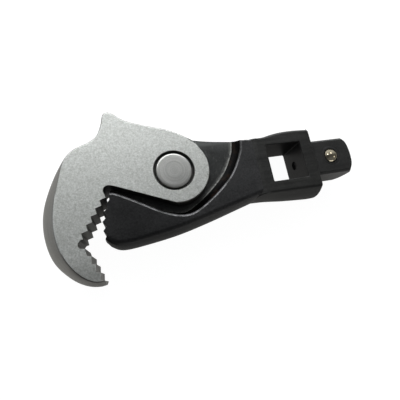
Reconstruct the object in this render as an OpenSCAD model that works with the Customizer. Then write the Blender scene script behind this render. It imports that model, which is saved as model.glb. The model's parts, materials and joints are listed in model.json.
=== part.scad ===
// Self-adjusting hook wrench head: a forged body with a toothed fixed jaw and
// a 1/2 inch square drive, and a spring-closed hook jaw on a riveted pivot.
// Millimetres. +X runs to the male drive, +Z is the face with the rivet head,
// and the origin is the centre of the square socket at mid thickness.

/* [Body] */
// Half thickness of the drive block
block_h = 6.8; // [6.6:0.1:7.4]
// Half thickness of the fixed jaw and the neck
neck_h = 6.4; // [6.2:0.1:6.5]
// Half thickness of the thin web that runs inside the hook's fork
web_h = 2.8; // [2.6:0.1:3]
// Radius of the web's round end about the pivot
web_r = 13.9; // [13.5:0.1:14]
// Fillet between the web and the recess wall at the jaw end
fillet_jaw = 1.3; // [0.8:0.1:1.6]
// Fillet between the web and the recess wall at the neck end
fillet_neck = 3.0; // [2:0.1:3.4]
// Distance from the pivot to the square socket, along the tool
pivot_x = 38.75; // [38.5:0.25:40]
// Height of the pivot above the socket's centre line
pivot_y = 1.75; // [1.5:0.25:2]
// End face of the drive block, from the pivot
block_end = 49.65; // [49.4:0.05:50.4]

/* [Drives] */
// Width of the female square socket
socket_w = 12.8; // [12.75:0.05:12.9]
// Width across the flats of the male square drive
drive_w = 12.5; // [12.4:0.05:12.65]
// Radius that truncates the male drive's corners
drive_r = 8.3; // [8.2:0.05:8.6]
// End of the male drive, from the pivot
drive_end = 63.95; // [63.5:0.05:65]
// Diameter of the detent ball
ball_d = 5.3; // [5.2:0.1:5.4]
// How far the detent ball stands out of the flat
ball_out = 1.45; // [1.4:0.05:1.5]

/* [Hook] */
// Half thickness of the hook
hook_h = 6.8; // [6.6:0.1:7]
// Half width of the fork slot
slot_h = 2.95; // [2.9:0.05:3.1]
// Radius of the fork slot about the pivot
slot_r = 14.3; // [14.2:0.05:14.6]
// Angle where the slot's opening stop stands, from +X
stop_a = 128; // [126:1:130]
// Pitch of the teeth along the upper row
tooth_pitch = 2.7; // [2.7]

/* [Pivot] */
// Radius of the rivet's shank
pin_r = 4.0; // [3.95:0.01:4]
// Radius of the rivet's head
head_r = 5.65; // [5.5:0.05:5.8]
// Radius of the counterbore round the head
bore_r = 6.45; // [6.4:0.05:6.6]
// Depth of the counterbore
bore_d = 2.2; // [2:0.1:2.4]
// Wire of the return spring
wire_d = 0.8; // [0.7:0.05:0.8]

/* [Hidden] */
$fn = 96;
fit = 0.05;                       // radial running clearance
cut_h = 30;                       // height of outlines cut right through
bore_h = 40;                      // height of bores cut right through
teeth = 6;                        // teeth in each row
// heights of a crowned side's sections, as shares of the half thickness
levels = [-1.02, -0.85, -0.6, -0.3, 0, 0.3, 0.6, 0.85, 1.02];

// Male drive and its detent, from the pivot
drive_y = -pivot_y;
drive_start = 45;                 // where the bar begins, inside the block
flat_z = drive_w / 2;
ball_r = ball_d / 2;
ball_x = pivot_x + 17.3;
ball_z = flat_z + ball_out - ball_r;
detent_floor = -3;
coil_r = 1.8;                     // mean radius of the detent spring
coil_turns = 6;
coil_wire_r = 0.25;

// Return spring
spring_r = 7.0;                   // mean radius
spring_floor = 0.2;               // floor of its pocket in the web
spring_start = 150;               // angle of the fixed leg
spring_sweep = 630;
spring_end = spring_start + spring_sweep;
bend_r = 0.9;                     // bend from the coil up into the moving leg

// Rivet
seat_z = hook_h - bore_d;         // floor of the counterbore
rivet_gap = 0.02;                 // gap between rivet, washer and seats
tail_r = 3.15;                    // neck of the peened tail
tail_z = -hook_h + 0.72;          // underside of the tail's flare
shank_swell = 0.02;               // extra shank radius inside the web

// ---- curves and lofts --------------------------------------------------

function radial(angle) = [cos(angle), sin(angle), 0];
function tangent(angle) = [-sin(angle), cos(angle), 0];
function polar(radius, angle) = radius * [cos(angle), sin(angle)];

// Catmull-Rom point between start and end, t from 0 to 1
function spline_point(before, start, end, after, t) = 0.5 * (2 * start + (end - before) * t
  + (2 * before - 5 * start + 4 * end - after) * t * t
  + (3 * start - before - 3 * end + after) * t * t * t);

// Smooth curve through the stations, with equal steps between each pair
function curve(stations, steps) = let(last = len(stations) - 1) concat([
  for (i = [0 : last - 1]) for (k = [0 : steps - 1]) spline_point(
    i > 0 ? stations[i - 1] : 2 * stations[0] - stations[1],
    stations[i], stations[i + 1],
    i + 1 < last ? stations[i + 2] : 2 * stations[i + 1] - stations[i], k / steps)],
  [stations[last]]);

// Arc as [x, y, crown]
function arc(centre, radius, from, to, steps, crown) = [for (i = [0 : steps])
  let(angle = from + (to - from) * i / steps)
  [centre[0] + radius * cos(angle), centre[1] + radius * sin(angle), crown]];

// Outward normal at point i of a closed counter-clockwise loop
function outward(loop, i) = let(count = len(loop),
  before = loop[(i + count - 1) % count], after = loop[(i + 1) % count],
  along = [after[0] - before[0], after[1] - before[1]])
  [along[1], -along[0]] / norm(along);

// Section at height z: each point moves out by its crown, as a parabola
function section(loop, half, z) = [for (i = [0 : len(loop) - 1])
  let(bulge = loop[i][2] * (1 - pow(z / half, 2)), normal = outward(loop, i))
  [loop[i][0] + bulge * normal[0], loop[i][1] + bulge * normal[1], z]];

// Solid through rings that have the same number of points
module loft(rings) {
  sides = len(rings[0]);
  count = len(rings);
  polyhedron(points = [for (ring = rings) each ring], convexity = 6, faces = concat(
    [[for (i = [0 : sides - 1]) i]],
    [[for (i = [sides - 1 : -1 : 0]) (count - 1) * sides + i]],
    [for (j = [0 : count - 2]) for (i = [0 : sides - 1]) let(next = (i + 1) % sides)
      each [[j * sides + i, (j + 1) * sides + i, (j + 1) * sides + next],
            [j * sides + i, (j + 1) * sides + next, j * sides + next]]]));
}

// Forging with crowned sides, cut flat at both faces
module crowned(loop, half) {
  intersection() {
    loft([for (level = levels) section(loop, half, level * half)]);
    cube([220, 160, 2 * half], center = true);
  }
}

// Round wire swept along stations [position, side vector]
module wire(stations, radius, sides) {
  last = len(stations) - 1;
  loft([for (i = [0 : last]) let(
    place = stations[i][0],
    side = stations[i][1],
    arrive = i > 0 ? place - stations[i - 1][0] : [0, 0, 0],
    leave = i < last ? stations[i + 1][0] - place : [0, 0, 0],
    along = (arrive + leave) / norm(arrive + leave),
    up = cross(along, side) / norm(cross(along, side)))
    [for (k = [0 : sides - 1]) let(angle = 360 * k / sides)
      place + radius * (cos(angle) * side + sin(angle) * up)]]);
}

// ---- body outlines, from the pivot: [x, y, crown] ----------------------

// Fixed jaw, web and neck, counter-clockwise from the jaw's lower corner
jaw_bottom = [
  [-23.0, -17.9, 0.3], [-21.3, -19.1, 0.8], [-18.2, -19.95, 1.2],
  [-11.3, -19.35, 1.4], [-1.3, -17.95, 1.5], [8.7, -15.75, 1.5],
  [18.7, -13.35, 1.3], [28.0, -11.1, 1.0], [33, -9.6, 0.5]];
neck_top = [
  [33, 6.4, 0.5], [27.5, 7.55, 0.8], [24.6, 7.8, 0.8],
  [20.3, 8.35, 0.8], [14.9, 9.25, 0.5], [11.3, 10.1, 0.2]];
jaw_face = [
  [-16, -4.2, 0], [-19.2, -2.8, 0], [-20.6, -2.7, 0],
  [-24, -3.2, 0], [-25.4, -9, 0], [-25.6, -15, 0]];
function body_loop() = concat(curve(jaw_bottom, 4), curve(neck_top, 4),
  arc([0, 0], web_r, 51, 203, 26, 0), jaw_face);

// Drive block, wider and fuller towards the drive end
block_bottom = [
  [27.9, -11.75, 0.9], [32, -11.8, 1.35], [38, -11.85, 2.1],
  [46, -11.85, 2.7], [56, -11.85, 2.7]];
block_top = [
  [56, 8.2, 1.9], [48.5, 8.5, 1.9], [44, 8.68, 1.9], [40, 8.6, 1.8],
  [36.8, 8.3, 1.6], [34.1, 7.85, 1.4], [31.7, 7.52, 1.2], [27.9, 7.5, 0.8]];
block_reach = 3.5;                // how far its -X end runs into the neck at mid thickness
reach_from = 31;                  // x where the reach begins
reach_fade = 3.4;                 // length over which it grows to full
function block_loop() = concat([[27.6, -11.7, 0]], curve(block_bottom, 5),
  curve(block_top, 4), [[27.6, 7.45, 0]]);
function block_section(level) = [for (p = section(block_loop(), block_h, level * block_h))
  let(share = max(0, min(1, (reach_from - p[0]) / reach_fade)))
  [p[0] - block_reach * (1 - level * level) * share, p[1], p[2]]];

// Nose of the male drive: [inset from drive_r, inset from drive_end]
drive_nose = [[0, 1.85], [0.35, 1.2], [1.45, 0.3], [2.3, 0]];

// Fixed jaw's teeth, on an arc: everything to the -X side of them
jaw_c = [1.35, -16.92];
jaw_r = 24.96;                    // radius of the tips
jaw_tooth_d = 0.95;
jaw_step = 6.18;                  // angle between teeth
function jaw_teeth() = concat([[-19.9, -1.5], [-20.25, -2.9]],
  [for (i = [0 : teeth - 1]) each [
    jaw_c + polar(jaw_r, 151.6 + i * jaw_step),
    if (i < teeth - 1) jaw_c + polar(jaw_r - jaw_tooth_d, 154.5 + i * jaw_step)]],
  [[-24.2, -18.9], [-40, -22], [-40, -1.5]]);

// ---- recess beside the web ---------------------------------------------

// Edge from the jaw's tip to the top of the neck:
// [x, y, fillet share], 0 for fillet_jaw and 1 for fillet_neck
recess_edge = [
  [-24.6, -4.6, 0], [-20.2, -4.35, 0], [-18.4, -4.85, 0], [-13.25, -7.75, 0],
  [-5.3, -12.5, 0.1], [0.75, -14.35, 0.3], [5.65, -13.4, 0.6], [12.6, -9.05, 0.85],
  [18.7, -3.6, 1], [22.8, 2.75, 1], [24.5, 7.45, 1], [25.1, 12, 1]];
recess_corners = [[26, 16], [10, 26], [-26, 26]];  // outside the forging
corner_fillet = 1.5;
recess_steps = 6;                 // rings 0 to 5 climb the fillet, ring 6 is the top

function recess_angle(step) = max(0, 90 - 18 * step);
function recess_z(step, fillet) = step < recess_steps
  ? web_h + fillet * (1 - sin(recess_angle(step))) : neck_h + 2;
function recess_ring(edge, step) = concat(
  [for (i = [0 : len(edge) - 1]) let(
    before = edge[max(i - 1, 0)],
    after = edge[min(i + 1, len(edge) - 1)],
    along = [after[0] - before[0], after[1] - before[1]],
    fillet = fillet_jaw + (fillet_neck - fillet_jaw) * min(1, max(0, edge[i][2])),
    inset = fillet * (1 - cos(recess_angle(step))) / norm(along))
    [edge[i][0] - inset * along[1], edge[i][1] + inset * along[0], recess_z(step, fillet)]],
  [for (p = recess_corners) [p[0], p[1], recess_z(step, corner_fillet)]]);

// Pocket that thins the forging to its web on the +Z side
module recess_cut() {
  edge = curve(recess_edge, 4);
  loft([for (step = [0 : recess_steps]) recess_ring(edge, step)]);
}

// ---- body, drawn about the pivot ---------------------------------------

module drive_block() intersection() {
  loft([for (level = levels) block_section(level)]);
  translate([block_end / 2, 0, 0]) cube([block_end, 80, 2 * block_h], center = true);
}

// Square bar with turned corners and a turned nose
module male_drive() translate([0, drive_y, 0]) intersection() {
  bar_end = drive_end + 1;
  translate([(drive_start + bar_end) / 2, 0, 0])
    cube([bar_end - drive_start, drive_w, drive_w], center = true);
  rotate([0, 90, 0]) rotate_extrude() polygon(concat(
    [[0, drive_start - 1], [drive_r, drive_start - 1]],
    [for (inset = drive_nose) [drive_r - inset[0], drive_end - inset[1]]],
    [[0, drive_end]]));
}

// Ring pocket for the return spring round its boss, and the fixed leg's slot
module spring_pocket() {
  slot_w = 1.3;
  slot_len = 7.4;
  translate([0, 0, spring_floor]) difference() {
    cylinder(h = 8, r = spring_r + 1.0);
    translate([0, 0, -1]) cylinder(h = 10, r = spring_r - 0.8);
  }
  rotate([0, 0, spring_start]) translate([spring_r - slot_w / 2, -slot_len, spring_floor])
    cube([slot_w, slot_len, 6]);
}

// Female square socket with a round recess in its +X wall
module socket_cut() translate([pivot_x, drive_y, 0]) {
  cube([socket_w, socket_w, bore_h], center = true);
  translate([socket_w / 2 - 1.1, 0, -0.6]) sphere(r = 1.9);
}

// Bore for the ball, with a narrower mouth that holds it in
module detent_bore() {
  lip_h = 0.3;
  lip_in = 0.12;
  translate([ball_x, drive_y, detent_floor])
    cylinder(h = flat_z - lip_h - detent_floor, r = ball_r + fit);
  translate([ball_x, drive_y, 0]) cylinder(h = 20, r = ball_r - lip_in);
}

module handle_body() color([0.13, 0.13, 0.14]) difference() {
  union() {
    difference() {
      crowned(body_loop(), neck_h);
      recess_cut();
      mirror([0, 0, 1]) recess_cut();
    }
    drive_block();
    male_drive();
  }
  linear_extrude(height = cut_h, center = true) polygon(jaw_teeth());
  cylinder(h = bore_h, r = pin_r, center = true);
  spring_pocket();
  socket_cut();
  // nick across the crown of the block's +Y side
  translate([45.7, 11.1, -6]) cylinder(h = 12, r = 1.2);
  detent_bore();
}

// ---- hook, drawn about the pivot ---------------------------------------

// Back of the hook, from the round end over the top to the tip: [x, y, crown]
hook_back = [
  [8.7, 7.9, 0.6], [4.75, 11.2, 0.9], [-0.6, 14.0, 1.2], [-7.3, 16.1, 1.3],
  [-13.0, 18.4, 1.3], [-16.4, 21.1, 1.1], [-17.8, 21.6, 0.9], [-19.1, 20.8, 0.7],
  [-19.95, 17.9, 0.7], [-21.7, 14.1, 0.9], [-24.6, 12.1, 0.9], [-29.0, 10.3, 1.0],
  [-32.1, 7.1, 1.5], [-34.0, 1.9, 2.9], [-36.0, -6, 4.0], [-36.6, -12.9, 4.0],
  [-35.5, -19.6, 3.6], [-32.9, -24.7, 2.6], [-29.8, -27.9, 1.8], [-26.9, -29.3, 1.2],
  [-24.6, -29.2, 1.1]];
function hook_loop() = concat(arc([0.6, 0.3], 10.8, -100, 32, 18, 0.6),
  curve(hook_back, 4), [[-22.5, -28.6, 0.5], [-18, -25, 0], [-8, -18, 0]]);

// Mouth: underside, root, upper teeth, rounded corner, lower teeth: [x, y]
under_start = [-1.28, -10.34];
under_end = [-18.75, -2.65];
mouth_root = [under_end, [-20.35, -2.2], [-21.6, -2.6], [-22.05, -3.6]];
mouth_corner = [[-30.05, -17.15], [-30.65, -17.95], [-30.5, -18.95], [-29.7, -19.5]];
upper_tip = [-21.45, -5.85];
upper_valley = [-23.25, -6.35];
upper_step = tooth_pitch * [-0.57, -0.8222];
lower_valley = [-28.6, -21.5];
lower_tip = [-27.5, -21.85];
lower_step = [0.9, -2.45];
function mouth() = concat(
  [under_start + (under_start - under_end) * 0.8, under_start],
  curve(mouth_root, 4),
  [for (i = [0 : teeth - 1]) each [upper_tip + i * upper_step,
    if (i < teeth - 1) upper_valley + i * upper_step]],
  curve(mouth_corner, 3),
  [[-29.05, -19.45]],
  [for (i = [0 : teeth - 1]) each [lower_valley + i * lower_step, lower_tip + i * lower_step]],
  [[-20, -36], [30, -36], [30, -24]]);

// Slot between the fork's cheeks, open towards +X and ending at the stop
module fork_slot() {
  cylinder(h = 2 * slot_h, r = slot_r, center = true);
  linear_extrude(height = 2 * slot_h, center = true)
    polygon([[0, 0], [12, -24], [40, -24], [40, 40], polar(42, stop_a)]);
}

module hook_jaw() color([0.76, 0.77, 0.76]) difference() {
  crowned(hook_loop(), hook_h);
  linear_extrude(height = cut_h, center = true) polygon(mouth());
  fork_slot();
  // bore and counterbores for the rivet
  cylinder(h = bore_h, r = pin_r + fit, center = true);
  for (flip = [0, 1]) mirror([0, 0, flip]) translate([0, 0, seat_z]) cylinder(h = 5, r = bore_r);
  // hole for the return spring's moving leg
  rotate([0, 0, spring_end]) translate([spring_r, bend_r, 0]) cylinder(h = 4.3, r = 0.6);
}

// ---- rivet, springs and ball, drawn about the pivot --------------------

// Profile [radius, z] from the peened tail up the shank to the head
module pivot_pin() color([0.62, 0.63, 0.62]) union() {
  rotate_extrude() polygon([
    [0, -hook_h + 0.1], [2.6, -hook_h + 0.1], [3.6, -hook_h + 0.35], [3.9, -hook_h + 0.7],
    [tail_r, tail_z], [tail_r, -seat_z - rivet_gap], [pin_r, -seat_z - rivet_gap],
    [pin_r, -web_h + 0.1], [pin_r + shank_swell, -web_h + 0.3],
    [pin_r + shank_swell, web_h - 0.3], [pin_r, web_h - 0.1],
    [pin_r, seat_z + rivet_gap], [head_r, seat_z + rivet_gap],
    [head_r, hook_h - 0.3], [head_r - 0.25, hook_h - 0.05], [0, hook_h]]);
}

// Washer under the tail, chamfered on its -Z rim
module rivet_washer() color([0.6, 0.6, 0.6]) {
  inner_r = tail_r + rivet_gap;
  outer_z = tail_z + rivet_gap;
  inner_z = -seat_z - 2 * rivet_gap;
  rotate_extrude() polygon([[inner_r, inner_z], [inner_r, outer_z],
    [head_r - 0.3, outer_z], [head_r, -hook_h + 1.0], [head_r, inner_z]]);
}

// Torsion spring: straight leg in the web, one and three quarter turns, and
// an end bent up into the +Z cheek
module return_spring() color([0.5, 0.5, 0.52]) {
  steps = 66;
  leg_top = 4.1;
  start_z = spring_floor + wire_d / 2 + 0.03;
  rise = (wire_d + 0.05) * spring_sweep / 360;
  end_z = start_z + rise;
  out = radial(spring_end);
  along = tangent(spring_end);
  wire(concat(
    [for (i = [0 : 2]) [spring_r * radial(spring_start)
      - (7 - 2.3 * i) * tangent(spring_start) + [0, 0, start_z], radial(spring_start)]],
    [for (i = [0 : steps]) let(angle = spring_start + spring_sweep * i / steps)
      [spring_r * radial(angle) + [0, 0, start_z + rise * i / steps], radial(angle)]],
    [for (i = [1 : 4]) let(bend = 22.5 * i)
      [spring_r * out + bend_r * sin(bend) * along
        + [0, 0, end_z + bend_r * (1 - cos(bend))], out]],
    [[spring_r * out + bend_r * along + [0, 0, leg_top], out]]), wire_d / 2, 8);
}

module detent_ball() color([0.75, 0.72, 0.62])
  translate([ball_x, drive_y, ball_z]) sphere(r = ball_r);

// Coil from the bore's floor to where it meets the ball
module detent_spring() color([0.6, 0.6, 0.62]) translate([ball_x, drive_y, 0]) {
  steps = 120;
  bottom = detent_floor + coil_wire_r + 0.03;
  top = ball_z - sqrt(pow(ball_r + coil_wire_r + 0.02, 2) - pow(coil_r, 2));
  wire([for (i = [0 : steps]) let(angle = 360 * coil_turns * i / steps)
    [coil_r * radial(angle) + [0, 0, bottom + (top - bottom) * i / steps], radial(angle)]],
    coil_wire_r, 6);
}

// Moves a piece drawn about the pivot so that the socket is at the origin
module at_socket() translate([-pivot_x, pivot_y, 0]) children();

at_socket() handle_body();
at_socket() hook_jaw();
at_socket() pivot_pin();
at_socket() rivet_washer();
at_socket() return_spring();
at_socket() detent_ball();
at_socket() detent_spring();
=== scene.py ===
"""Hook wrench head: a toothed hook jaw riveted to a forged body with a square socket and drive.

Modelled in millimetres about the jaw pivot, then moved into the frame in metres. The frame's
origin is on the socket's axis. The hook lies towards -X with its mouth open towards -Y, the
square drive points along +X, and the plate's mid plane is z = 0.
"""
import json
import math

import bmesh
import bpy
from mathutils import Matrix, Vector


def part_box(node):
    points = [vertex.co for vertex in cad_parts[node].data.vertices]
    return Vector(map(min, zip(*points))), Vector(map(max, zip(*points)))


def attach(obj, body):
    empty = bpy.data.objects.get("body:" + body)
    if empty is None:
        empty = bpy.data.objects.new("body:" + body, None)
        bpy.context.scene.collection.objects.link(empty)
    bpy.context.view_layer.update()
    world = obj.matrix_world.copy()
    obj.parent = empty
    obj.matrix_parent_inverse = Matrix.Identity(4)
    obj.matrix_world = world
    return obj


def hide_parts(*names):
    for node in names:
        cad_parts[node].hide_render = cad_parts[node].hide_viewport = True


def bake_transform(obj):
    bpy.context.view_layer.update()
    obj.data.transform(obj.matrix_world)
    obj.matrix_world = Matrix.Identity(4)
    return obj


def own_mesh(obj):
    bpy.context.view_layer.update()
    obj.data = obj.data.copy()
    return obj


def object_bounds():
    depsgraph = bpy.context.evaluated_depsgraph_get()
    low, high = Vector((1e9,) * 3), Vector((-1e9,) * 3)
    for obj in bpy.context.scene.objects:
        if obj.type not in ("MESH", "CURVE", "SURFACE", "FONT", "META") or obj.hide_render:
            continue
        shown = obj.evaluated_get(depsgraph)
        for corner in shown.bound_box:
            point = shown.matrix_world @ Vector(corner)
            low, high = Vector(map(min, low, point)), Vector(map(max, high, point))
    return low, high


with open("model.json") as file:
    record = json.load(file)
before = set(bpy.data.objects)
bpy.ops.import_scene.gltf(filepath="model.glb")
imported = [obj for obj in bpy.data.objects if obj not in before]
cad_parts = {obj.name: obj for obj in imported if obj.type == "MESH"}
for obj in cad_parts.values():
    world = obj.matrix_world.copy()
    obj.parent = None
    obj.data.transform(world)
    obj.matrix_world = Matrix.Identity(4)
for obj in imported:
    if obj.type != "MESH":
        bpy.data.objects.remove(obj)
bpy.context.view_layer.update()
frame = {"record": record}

# ------------------------------------------------- dimensions, mm from the pivot
JOINT = next(j for j in frame["record"]["behaviour"]["joints"] if j["name"] == "jaw_pivot")
PIVOT = Vector((JOINT["pos_m"][0], JOINT["pos_m"][1], 0.0)) * 1000.0
SOCKET_X, DRIVE_Y = -PIVOT.x, -PIVOT.y      # socket centre; the drive lies on the same y
# half thicknesses
BLOCK_H, NECK_H, WEB_H, HOOK_H, SLOT_H = 6.8, 6.4, 2.8, 6.8, 2.95
WEB_R, SLOT_R = 13.9, 14.3                  # web of the body, fork slot of the hook
STOP_ANGLE = 128.0                          # end of the fork's open sector
TOOTH_PITCH = 2.7
PIN_R, PIN_HEAD_R, FIT = 4.0, 5.65, 0.05
SINK_R, SINK_DEPTH = 6.45, 2.2              # counterbores for the rivet head and washer
SOCKET_W, DRIVE_W, DRIVE_R = 12.8, 12.5, 8.3
DRIVE_END, BLOCK_END = 63.95, 49.65
FLAT_Z = DRIVE_W / 2
BALL_LO, BALL_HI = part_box("detent_ball")
BALL_R = (BALL_HI[0] - BALL_LO[0]) * 500.0
BALL = Vector([(a + b) * 500.0 for a, b in zip(BALL_LO, BALL_HI)]) - PIVOT
# recess fillet and rim radii, at the jaw and at the neck
FILLET_JAW, FILLET_NECK = 1.3, 3.25
RIM_JAW, RIM_NECK = 0.95, 0.65
EDGE_HOOK, EDGE_BODY, EDGE_BLOCK = 0.32, 1.3, 0.55
# return spring: coil radius, wire, floor of its pocket, and the angles of its legs
COIL_R, COIL_WIRE, POCKET_Z = 7.0, 0.8, 0.2
COIL_START, COIL_WIND = 150.0, 630.0
LEG_BEND = 0.9
SHARP_ANGLE = 34.0


# ------------------------------------------------------------------ 2D curves
def clamp01(value):
    return max(0.0, min(1.0, value))


def polar(radius, degrees, centre=(0, 0)):
    angle = math.radians(degrees)
    return centre[0] + radius * math.cos(angle), centre[1] + radius * math.sin(angle)


def catmull_rom(a, b, c, d, t):
    return tuple(0.5 * (2 * q + (r - p) * t + (2 * p - 5 * q + 4 * r - s) * t * t
                        + (3 * q - p - 3 * r + s) * t ** 3) for p, q, r, s in zip(a, b, c, d))


def curve(points, steps):
    """Smooth open curve through the points, with this many steps in each span."""
    def beyond(end, inner):
        return tuple(2 * u - v for u, v in zip(end, inner))

    padded = [beyond(points[0], points[1]), *points, beyond(points[-1], points[-2])]
    return [catmull_rom(*padded[i:i + 4], k / steps)
            for i in range(len(points) - 1) for k in range(steps)] + [tuple(points[-1])]


def arc(centre, radius, start, end, steps, crown=0.0):
    return [(*polar(radius, start + (end - start) * i / steps, centre), crown)
            for i in range(steps + 1)]


def turned_ccw(loop):
    area = sum(loop[i - 1][0] * loop[i][1] - loop[i][0] * loop[i - 1][1]
               for i in range(len(loop)))
    return list(loop) if area > 0 else list(reversed(loop))


def outward(a, b):
    """Unit normal to the right of the way from a to b."""
    dx, dy = b[0] - a[0], b[1] - a[1]
    length = math.hypot(dx, dy) or 1.0
    return dy / length, -dx / length


def normals(loop):
    """Outward normals of a closed counter-clockwise loop."""
    count = len(loop)
    return [outward(loop[i - 1], loop[(i + 1) % count]) for i in range(count)]


def mitred(loop, offset):
    """Closed counter-clockwise loop moved out by the offset, with mitred corners."""
    out = []
    for i, point in enumerate(loop):
        before = outward(loop[i - 1], point)
        after = outward(point, loop[(i + 1) % len(loop)])
        spread = max(1.0 + before[0] * after[0] + before[1] * after[1], 0.45)
        out.append((point[0] + offset * (before[0] + after[0]) / spread,
                    point[1] + offset * (before[1] + after[1]) / spread))
    return out


# --------------------------------------------------------------- mesh helpers
# Flared rim of a cutter, in flares: (out from the outline, height from the face).
FLARE = [(0.0, -1), (0.3, -0.3), (0.85, -0.02), (1.5, 0.3)]


def mesh_object(name, verts, faces, mats, index=None):
    mesh = bpy.data.meshes.new(name)
    mesh.from_pydata([tuple(v) for v in verts], [], faces)
    for mat in mats:
        mesh.materials.append(mat)
    if index:
        mesh.polygons.foreach_set("material_index", index)
    mesh.update()
    made = bpy.data.objects.new(name, mesh)
    bpy.context.scene.collection.objects.link(made)
    return made


def loft(name, rings, mats, bands=None):
    """Closed solid through equal rings, bottom to top, each counter-clockwise from above.

    bands gives the material index of each band between rings.
    """
    m, k = len(rings[0]), len(rings)
    verts = [p for ring in rings for p in ring]
    faces = [list(range(m - 1, -1, -1)), [(k - 1) * m + i for i in range(m)]]
    index = [0, 0]
    for j in range(k - 1):
        for i in range(m):
            n = (i + 1) % m
            a, b, c, d = j * m + i, j * m + n, (j + 1) * m + n, (j + 1) * m + i
            faces += [[a, b, c], [a, c, d]]
            index += [bands[j] if bands else 0] * 2
    return mesh_object(name, verts, faces, mats, index)


def edge_levels(h, r, side, rounding):
    """(height, inset) from the bottom face to the top face, with both edges rounded by r."""
    top = []
    for k in range(rounding):
        a = math.pi / 2 * (1 - k / rounding)
        top.append((h - r + r * math.sin(a), r - r * math.cos(a)))
    middle = [((h - r) * (1 - 2 * k / side), 0.0) for k in range(side + 1)]
    down = top + middle + [(-z, inset) for z, inset in reversed(top)]
    return list(reversed(down))


def forged(name, loop, h, edge, mats, side, rounding, taper=lambda x, y: 1.0):
    """Forging with crowned sides and rounded edges from the loop (x, y, crown)."""
    loop = turned_ccw(loop)
    outs = normals(loop)
    rings = []
    for z, inset in edge_levels(h, edge, side, rounding):
        s = z / h
        ring = []
        for (x, y, crown), n in zip(loop, outs):
            k = crown * (1 - s * s) - inset * taper(x, y)
            ring.append((x + k * n[0], y + k * n[1], z))
        rings.append(ring)
    return loft(name, rings, mats)


def prism(name, outline, h, mat):
    loop = turned_ccw(outline)
    return loft(name, [[(p[0], p[1], z) for p in loop] for z in (-h, h)], [mat])


def flared_prism(name, outline, h, flare, face, mats):
    """Cutter that widens at both faces (z = +-face) of the plate; mats are (wall, rim)."""
    loop = turned_ccw(outline)
    half = [(face + up * flare, out * flare) for out, up in FLARE] + [(h, 1.5 * flare)]
    levels = [(-z, out) for z, out in reversed(half)] + half
    rings = [[(x, y, z) for x, y in mitred(loop, out)] for z, out in levels]
    return loft(name, rings, mats, [1, 1, 1, 1, 0, 1, 1, 1, 1])


def lathe(name, profile, n, mats, at=(0, 0, 0), along_x=False, bands=None):
    """Solid of revolution of (radius, height), first and last on the axis."""
    bands = bands or [0] * (len(profile) - 1)
    body = profile[1:-1]
    verts, faces, index = [(0, 0, profile[0][1])], [], []
    for r, z in body:
        verts += [(r * math.cos(2 * math.pi * i / n), r * math.sin(2 * math.pi * i / n), z)
                  for i in range(n)]
    verts.append((0, 0, profile[-1][1]))
    last, m = len(verts) - 1, len(body)
    for i in range(n):
        k = (i + 1) % n
        faces.append([0, 1 + k, 1 + i])
        for j in range(m - 1):
            low, high = 1 + j * n, 1 + (j + 1) * n
            faces.append([low + i, low + k, high + k, high + i])
        faces.append([1 + (m - 1) * n + i, 1 + (m - 1) * n + k, last])
        index += bands
    if along_x:
        verts = [(z, x, y) for x, y, z in verts]
    verts = [(x + at[0], y + at[1], z + at[2]) for x, y, z in verts]
    return mesh_object(name, verts, faces, mats, index)


def cylinder(name, r, z0, z1, mat, at=(0, 0), n=96):
    return lathe(name, [(0, z0), (r, z0), (r, z1), (0, z1)], n, [mat], (*at, 0))


def flared_cylinder(name, r, z0, z1, mats, flare, face, at=(0, 0), n=96):
    """Cylinder that widens at z = face; mats are (wall, rim)."""
    rim = [(r + out * flare, face + up * flare) for out, up in FLARE]
    profile = [(0, z0), (r, z0), *rim, (r + 1.5 * flare, z1), (0, z1)]
    return lathe(name, profile, n, mats, (*at, 0), bands=[0, 0, 1, 1, 1, 1, 1])


def torus(name, section, n, mats, at=(0, 0, 0)):
    """Ring with the closed section (radius, height), counter-clockwise."""
    m = len(section)
    verts = [(r * math.cos(2 * math.pi * i / n) + at[0],
              r * math.sin(2 * math.pi * i / n) + at[1], z + at[2])
             for i in range(n) for r, z in section]
    faces = []
    for i in range(n):
        k = (i + 1) % n
        for j in range(m):
            l = (j + 1) % m
            faces.append([i * m + j, k * m + j, k * m + l, i * m + l])
    return mesh_object(name, verts, faces, mats)


def box(name, lo, hi, mats):
    (a, b, c), (d, e, f) = lo, hi
    verts = [(a, b, c), (d, b, c), (d, e, c), (a, e, c), (a, b, f), (d, b, f), (d, e, f), (a, e, f)]
    faces = [[3, 2, 1, 0], [4, 5, 6, 7], [0, 1, 5, 4], [1, 2, 6, 5], [2, 3, 7, 6], [3, 0, 4, 7]]
    return mesh_object(name, verts, faces, mats)


def globe(name, r, at, mats, n, m):
    profile = [(r * math.sin(math.pi * k / m), -r * math.cos(math.pi * k / m))
               for k in range(m + 1)]
    return lathe(name, profile, n, mats, at)


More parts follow.
